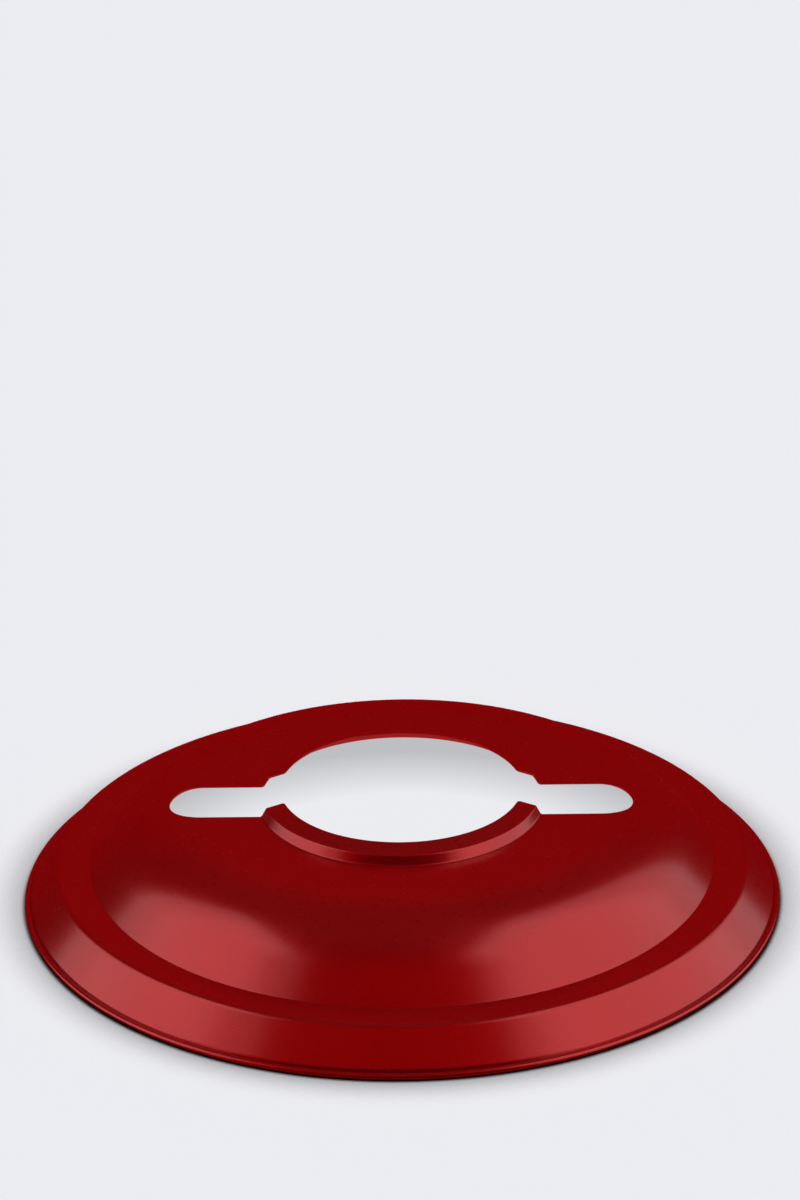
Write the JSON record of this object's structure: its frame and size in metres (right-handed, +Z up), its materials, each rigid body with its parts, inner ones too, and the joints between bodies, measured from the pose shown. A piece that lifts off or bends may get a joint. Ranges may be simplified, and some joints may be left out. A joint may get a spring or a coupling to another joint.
{
  "type": "lantern reflector shade",
  "caption": "Round red powder-coated sheet-steel reflector shade for a hurricane lantern, with a collared central hole, two tube slots and a wire-stiffened curled rim",
  "frame": {"origin": "Centre of the circle the rim rests on, on the axis of the shade", "axes": "+Z up along the axis of the shade, +X along the long cut of the two tube slots, +Y across it"},
  "size_m": [0.25, 0.25, 0.0391],
  "materials": {
    "painted_steel": "semi-gloss deep red powder coat on pressed sheet steel",
    "wire_steel": "bare drawn steel wire"
  },
  "bodies": {
    "root": {"shade_shell": "painted_steel", "rim_wire": "wire_steel"}
  },
  "joints": []
}
